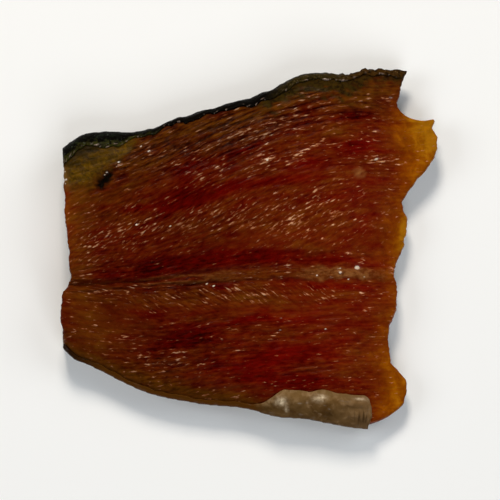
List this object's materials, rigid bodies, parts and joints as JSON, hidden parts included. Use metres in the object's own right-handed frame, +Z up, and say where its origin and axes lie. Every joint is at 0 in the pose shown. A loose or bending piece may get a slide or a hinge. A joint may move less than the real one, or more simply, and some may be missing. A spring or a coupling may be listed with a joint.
{
  "type": "dried salmon piece",
  "caption": "Piece of dried salmon cut across a small fillet: oily, fibrous flesh with a midline groove, lying on its skin, whose rims roll over the back edge and the belly.",
  "frame": {"origin": "on the surface that the piece lies on, under the middle of its box", "axes": "+X along the fish, from the clean cut to the ragged end; +Y from the belly edge to the back edge; +Z up, out of the flesh side"},
  "size_m": [0.0649, 0.062, 0.0105],
  "materials": {
    "flesh": "wet, oily and translucent dried fish flesh, deep red to orange, yellow where it is thin",
    "skin": "dried fish skin, black-green along the back and pale silver at the belly"
  },
  "bodies": {
    "root": {"flesh": "flesh", "skin": "skin"}
  },
  "joints": []
}
